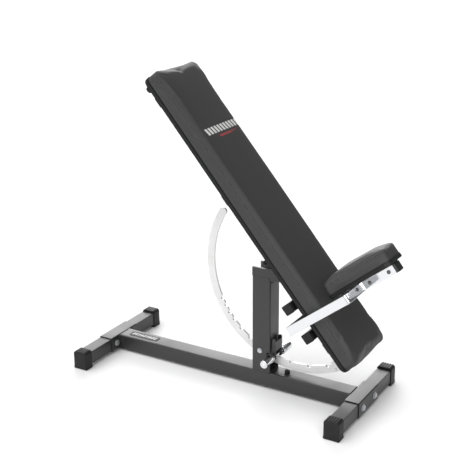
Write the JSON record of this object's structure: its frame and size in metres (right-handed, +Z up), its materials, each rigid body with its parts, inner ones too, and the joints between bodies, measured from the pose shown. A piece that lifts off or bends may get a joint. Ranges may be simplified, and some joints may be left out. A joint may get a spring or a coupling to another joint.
{
  "type": "adjustable weight bench",
  "caption": "Weight bench: one long pad tilts on an upright post, locked by a notched arc and a sprung latch rod; a seat on flat bars slides along the pad.",
  "frame": {"origin": "on the floor under the middle of the whole bench with the pad at its stored incline", "axes": "+X along the rail towards the seat, +Y towards the left of someone sitting on it, +Z up"},
  "size_m": [1.114, 0.458, 1.0695],
  "materials": {
    "black_steel": "fine textured powder coat",
    "cap_plastic": "moulded, fine grain",
    "stop_rubber": "matte",
    "vinyl": "grained upholstery vinyl",
    "board": "black stained plywood",
    "arc_steel": "satin plated",
    "chrome": "polished",
    "zinc": "zinc plated"
  },
  "bodies": {
    "base": {"main_rail": "black_steel", "rear_sleeve": "black_steel", "front_sleeve": "black_steel", "rear_leg": "black_steel", "front_leg": "black_steel", "rear_right_foot": "cap_plastic", "rear_left_foot": "cap_plastic", "front_right_foot": "cap_plastic", "front_left_foot": "cap_plastic", "leg_bolts": "zinc", "badge_plate": "zinc", "rail_bumper": "stop_rubber", "upright_post": "black_steel", "post_stop_plate": "black_steel", "right_ear": "black_steel", "left_ear": "black_steel", "pivot_bolt": "zinc", "pivot_nut": "zinc", "latch_bolt": "zinc", "latch_nut": "zinc", "latch_spring": "zinc"},
    "pad": {"pad_beam": "black_steel", "beam_plugs": "cap_plastic", "pivot_sleeve": "black_steel", "upper_cross_tube": "black_steel", "lower_cross_tube": "black_steel", "cross_tube_caps": "cap_plastic", "head_straps": "black_steel", "middle_straps": "black_steel", "foot_straps": "black_steel", "board_bolts": "zinc", "head_studs": "stop_rubber", "pad_stop": "stop_rubber", "arc_plate": "arc_steel", "arc_bracket": "arc_steel", "arc_rivets": "arc_steel", "pad_board": "board", "pad_cushion": "vinyl"},
    "latch": {"right_latch_cheek": "black_steel", "left_latch_cheek": "black_steel", "latch_web": "black_steel", "latch_rod": "chrome", "right_grip": "chrome", "left_grip": "chrome"},
    "seat": {"right_seat_bar": "chrome", "left_seat_bar": "chrome", "seat_cross_bar": "black_steel", "seat_glide": "stop_rubber", "seat_tube": "black_steel", "seat_tube_plug": "cap_plastic", "seat_bolts": "zinc", "seat_board": "board", "seat_cushion": "vinyl"}
  },
  "joints": [
    {"name": "pad_tilt", "type": "hinge", "parent": "base", "child": "pad", "pos_m": [0.21203, 0, 0.42], "axis": [0, 1, 0], "range_deg": [-49.8, 35.2]},
    {"name": "latch_lift", "type": "hinge", "parent": "base", "child": "latch", "pos_m": [0.09303, 0, 0.13801], "axis": [0, 1, 0], "range_deg": [-1, 10.2], "stiffness_Nm_per_rad": 2, "springref_deg": 10.2},
    {"name": "seat_slide", "type": "slide", "parent": "pad", "child": "seat", "axis": [0.6455, 0, -0.7638], "range_m": [-0.075, 0.09]}
  ]
}
